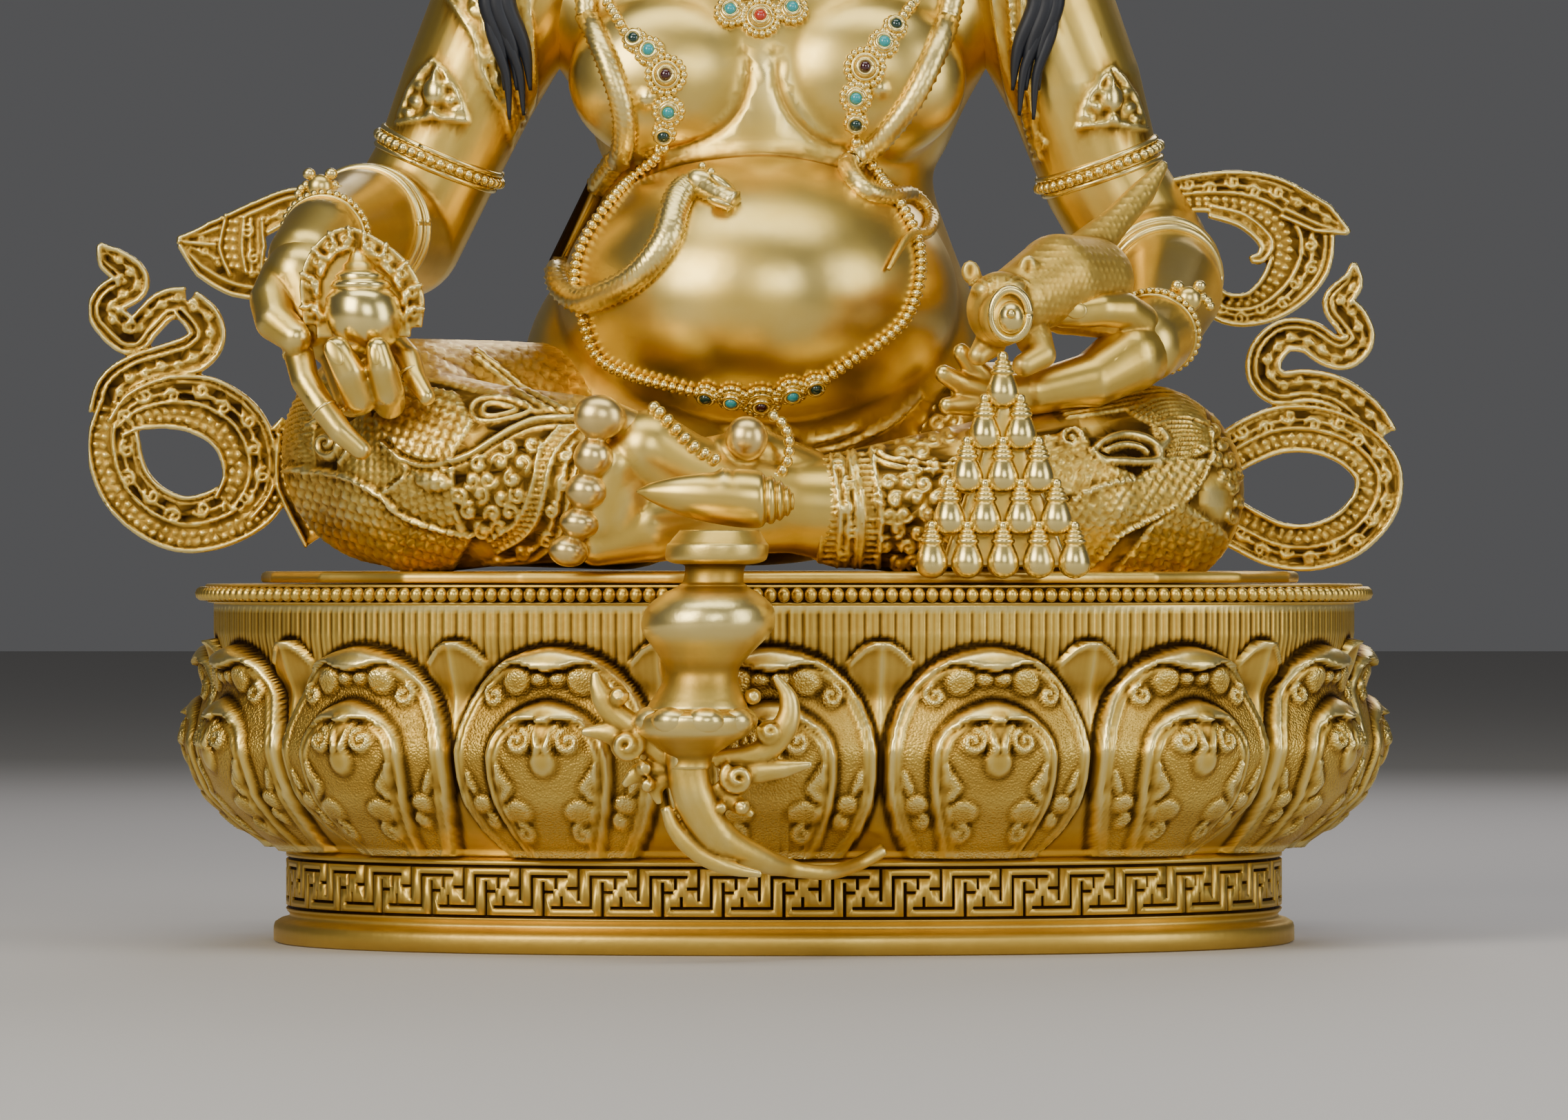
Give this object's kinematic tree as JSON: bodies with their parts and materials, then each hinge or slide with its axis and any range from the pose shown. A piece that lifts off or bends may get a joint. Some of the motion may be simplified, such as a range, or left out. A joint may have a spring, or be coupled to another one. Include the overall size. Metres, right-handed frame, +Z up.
{
  "type": "jambhala statue",
  "caption": "Gilt copper statue of a seated wealth deity with a mongoose and a flaming jewel, on an oval lotus base with a treasure vase in front.",
  "frame": {"origin": "centre of the lotus base's flat underside", "axes": "+Z up, the figure faces -Y, +X to the viewer's right"},
  "size_m": [0.3137, 0.2371, 0.3291],
  "materials": {
    "gilt_copper": "mercury-gilt, polished on skin and vase, satin on carving, darker in the recesses",
    "turquoise": "polished stone",
    "coral": "polished stone",
    "dark_green": "polished stone",
    "garnet": "polished stone"
  },
  "bodies": {
    "root": {"lotus_base": "gilt_copper", "figure": "gilt_copper", "flaming_jewel": "gilt_copper", "mongoose": "gilt_copper", "jewel_pile": "gilt_copper", "conch": "gilt_copper", "vase_stand": "gilt_copper", "scarf_right_lower": "gilt_copper", "scarf_left_lower": "gilt_copper", "scarf_right_upper": "gilt_copper", "scarf_left_upper": "gilt_copper", "stone_necklace_1": "turquoise", "stone_necklace_2": "coral", "stone_necklace_3": "turquoise", "stone_chest_right_1": "dark_green", "stone_chest_right_2": "turquoise", "stone_chest_right_3": "garnet", "stone_chest_right_4": "turquoise", "stone_chest_right_5": "dark_green", "stone_chest_left_1": "dark_green", "stone_chest_left_2": "turquoise", "stone_chest_left_3": "garnet", "stone_chest_left_4": "turquoise", "stone_chest_left_5": "dark_green", "stone_belly_1": "dark_green", "stone_belly_2": "turquoise", "stone_belly_3": "garnet", "stone_belly_4": "turquoise", "stone_belly_5": "dark_green"}
  },
  "joints": []
}
